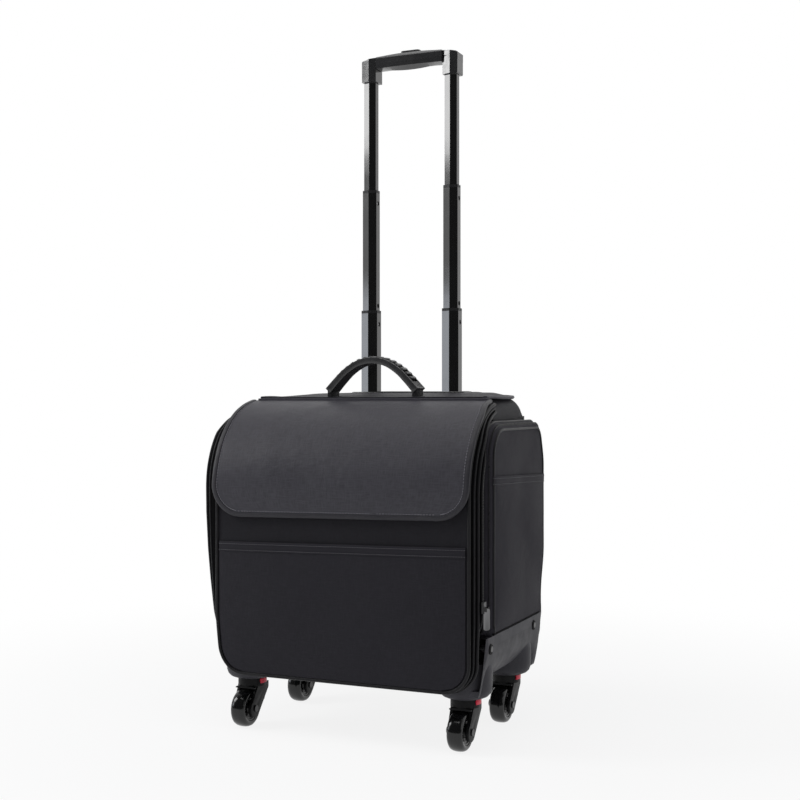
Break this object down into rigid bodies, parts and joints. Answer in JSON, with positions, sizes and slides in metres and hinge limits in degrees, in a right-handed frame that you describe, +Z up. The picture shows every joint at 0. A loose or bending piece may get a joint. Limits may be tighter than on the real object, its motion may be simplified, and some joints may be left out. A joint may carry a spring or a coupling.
{
  "type": "rolling makeup case",
  "caption": "Soft-sided rolling makeup case with drop flap over a zipped front, side pouches, telescoping pull handle, carry handle and swivel casters.",
  "frame": {"origin": "middle of the bounding box on the floor", "axes": "+Z up, -Y out of the front, +X to the right of someone facing along +Y"},
  "size_m": [0.4, 0.268, 0.946],
  "materials": {
    "body_nylon": "woven nylon, matt",
    "front_nylon": "woven nylon, matt",
    "flap_nylon": "woven nylon with a soft sheen",
    "pouch_nylon": "woven nylon, matt",
    "lining": "smooth lining",
    "board": "fibre board",
    "hook_tape": "hook tape",
    "zip_tape": "coil zip on tape",
    "webbing": "flat webbing",
    "grip_rubber": "moulded, satin",
    "runner_plastic": "satin moulding",
    "steel": "bright",
    "tube_black": "gloss black",
    "guide_plastic": "satin",
    "grip_plastic": "satin",
    "zip_metal": "gun metal",
    "caster_plastic": "gloss",
    "hub_plastic": "gloss",
    "tyre": "gloss",
    "tab_red": "gloss"
  },
  "bodies": {
    "case": {"back_panel": "body_nylon", "side_panel_left": "body_nylon", "side_panel_right": "body_nylon", "bottom_tray": "body_nylon", "base_board": "board", "top_panel": "body_nylon", "base_runner_left": "runner_plastic", "base_runner_right": "runner_plastic", "base_screws": "steel", "side_pouch_left": "pouch_nylon", "side_pouch_right": "pouch_nylon", "pouch_slips": "pouch_nylon", "zip_chain": "zip_tape", "outer_tubes": "tube_black", "tube_bezel": "guide_plastic", "tube_foot": "guide_plastic", "back_lining": "lining", "caster_pins": "steel", "carry_grip": "grip_rubber", "carry_webbing": "webbing"},
    "flap_cover": {"flap": "flap_nylon", "flap_hook_strip": "hook_tape"},
    "door": {"front_door": "front_nylon", "front_slip": "front_nylon"},
    "stage1": {"stage1_tubes": "tube_black", "stage1_guides": "guide_plastic"},
    "stage1_lock": {"stage1_bolts": "steel"},
    "stage2": {"stage2_tubes": "tube_black", "stage2_guides": "guide_plastic"},
    "stage2_lock": {"stage2_bolts": "steel"},
    "stage3": {"stage3_tubes": "tube_black", "stage3_plugs": "guide_plastic", "grip_lower": "grip_plastic", "grip_upper": "grip_plastic", "button_spring": "steel"},
    "stage3_lock": {"stage3_bolts": "steel"},
    "button": {"release_button": "grip_plastic", "push_rods": "guide_plastic"},
    "slider": {"zip_slider": "zip_metal"},
    "pull": {"zip_pull": "zip_metal"},
    "caster_fl": {"fork_fl": "caster_plastic", "axle_fl": "steel"},
    "wheel_fl": {"hub_fl": "hub_plastic", "tyre_fl": "tyre"},
    "release_fl": {"tab_fl": "tab_red"},
    "caster_fr": {"fork_fr": "caster_plastic", "axle_fr": "steel"},
    "wheel_fr": {"hub_fr": "hub_plastic", "tyre_fr": "tyre"},
    "release_fr": {"tab_fr": "tab_red"},
    "caster_rl": {"fork_rl": "caster_plastic", "axle_rl": "steel"},
    "wheel_rl": {"hub_rl": "hub_plastic", "tyre_rl": "tyre"},
    "release_rl": {"tab_rl": "tab_red"},
    "caster_rr": {"fork_rr": "caster_plastic", "axle_rr": "steel"},
    "wheel_rr": {"hub_rr": "hub_plastic", "tyre_rr": "tyre"},
    "release_rr": {"tab_rr": "tab_red"}
  },
  "joints": [
    {"name": "flap_hinge", "type": "hinge", "parent": "case", "child": "flap_cover", "pos_m": [0, -0.034, 0.43832], "axis": [1, 0, 0], "range_deg": [-92, 0]},
    {"name": "door_hinge", "type": "hinge", "parent": "case", "child": "door", "pos_m": [0, -0.13, 0.079], "axis": [1, 0, 0], "range_deg": [0, 95], "deforming": ["flap", "flap_hook_strip"]},
    {"name": "stage1_slide", "type": "slide", "parent": "case", "child": "stage1", "axis": [0, 0, 1], "range_m": [-0.108, 0]},
    {"name": "stage2_slide", "type": "slide", "parent": "stage1", "child": "stage2", "axis": [0, 0, 1], "range_m": [-0.17, 0]},
    {"name": "stage3_slide", "type": "slide", "parent": "stage2", "child": "stage3", "axis": [0, 0, 1], "range_m": [-0.15, 0]},
    {"name": "button_press", "type": "slide", "parent": "stage3", "child": "button", "axis": [0, 0, 1], "range_m": [-0.004, 0], "stiffness_N_per_m": 600, "springref_m": 0.004, "deforming": ["button_spring"]},
    {"name": "stage3_lock_draw", "type": "slide", "parent": "stage3", "child": "stage3_lock", "axis": [1, 0, 0], "range_m": [-0.0025, 0], "stiffness_N_per_m": 300, "springref_m": 0.003},
    {"name": "stage2_lock_draw", "type": "slide", "parent": "stage2", "child": "stage2_lock", "axis": [1, 0, 0], "range_m": [-0.0025, 0], "stiffness_N_per_m": 300, "springref_m": 0.003},
    {"name": "stage1_lock_draw", "type": "slide", "parent": "stage1", "child": "stage1_lock", "axis": [1, 0, 0], "range_m": [-0.0025, 0], "stiffness_N_per_m": 300, "springref_m": 0.003},
    {"name": "zip_run", "type": "slide", "parent": "case", "child": "slider", "axis": [0, 0, 1], "range_m": [0, 0.13]},
    {"name": "zip_pull_swing", "type": "hinge", "parent": "slider", "child": "pull", "pos_m": [0.1967, -0.1162, 0.183], "axis": [0, 1, 0], "range_deg": [-90, 0]},
    {"name": "swivel_fl", "type": "hinge", "parent": "case", "child": "caster_fl", "pos_m": [-0.155, -0.079, 0.06], "axis": [0, 0, 1], "continuous": true},
    {"name": "roll_fl", "type": "hinge", "parent": "caster_fl", "child": "wheel_fl", "pos_m": [-0.155, -0.097, 0.025], "axis": [1, 0, 0], "continuous": true},
    {"name": "release_fl_press", "type": "slide", "parent": "caster_fl", "child": "release_fl", "axis": [1, 0, 0], "range_m": [-0.002, 0], "stiffness_N_per_m": 500, "springref_m": 0.002},
    {"name": "swivel_fr", "type": "hinge", "parent": "case", "child": "caster_fr", "pos_m": [0.155, -0.079, 0.06], "axis": [0, 0, 1], "continuous": true},
    {"name": "roll_fr", "type": "hinge", "parent": "caster_fr", "child": "wheel_fr", "pos_m": [0.155, -0.097, 0.025], "axis": [1, 0, 0], "continuous": true},
    {"name": "release_fr_press", "type": "slide", "parent": "caster_fr", "child": "release_fr", "axis": [1, 0, 0], "range_m": [-0.002, 0], "stiffness_N_per_m": 500, "springref_m": 0.002},
    {"name": "swivel_rl", "type": "hinge", "parent": "case", "child": "caster_rl", "pos_m": [-0.155, 0.079, 0.06], "axis": [0, 0, 1], "continuous": true},
    {"name": "roll_rl", "type": "hinge", "parent": "caster_rl", "child": "wheel_rl", "pos_m": [-0.155, 0.061, 0.025], "axis": [1, 0, 0], "continuous": true},
    {"name": "release_rl_press", "type": "slide", "parent": "caster_rl", "child": "release_rl", "axis": [1, 0, 0], "range_m": [-0.002, 0], "stiffness_N_per_m": 500, "springref_m": 0.002},
    {"name": "swivel_rr", "type": "hinge", "parent": "case", "child": "caster_rr", "pos_m": [0.155, 0.079, 0.06], "axis": [0, 0, 1], "continuous": true},
    {"name": "roll_rr", "type": "hinge", "parent": "caster_rr", "child": "wheel_rr", "pos_m": [0.155, 0.061, 0.025], "axis": [1, 0, 0], "continuous": true},
    {"name": "release_rr_press", "type": "slide", "parent": "caster_rr", "child": "release_rr", "axis": [1, 0, 0], "range_m": [-0.002, 0], "stiffness_N_per_m": 500, "springref_m": 0.002}
  ],
  "couplings": [
    {"joint": "stage3_lock_draw", "follows": "button_press", "ratio": 0.625}
  ]
}
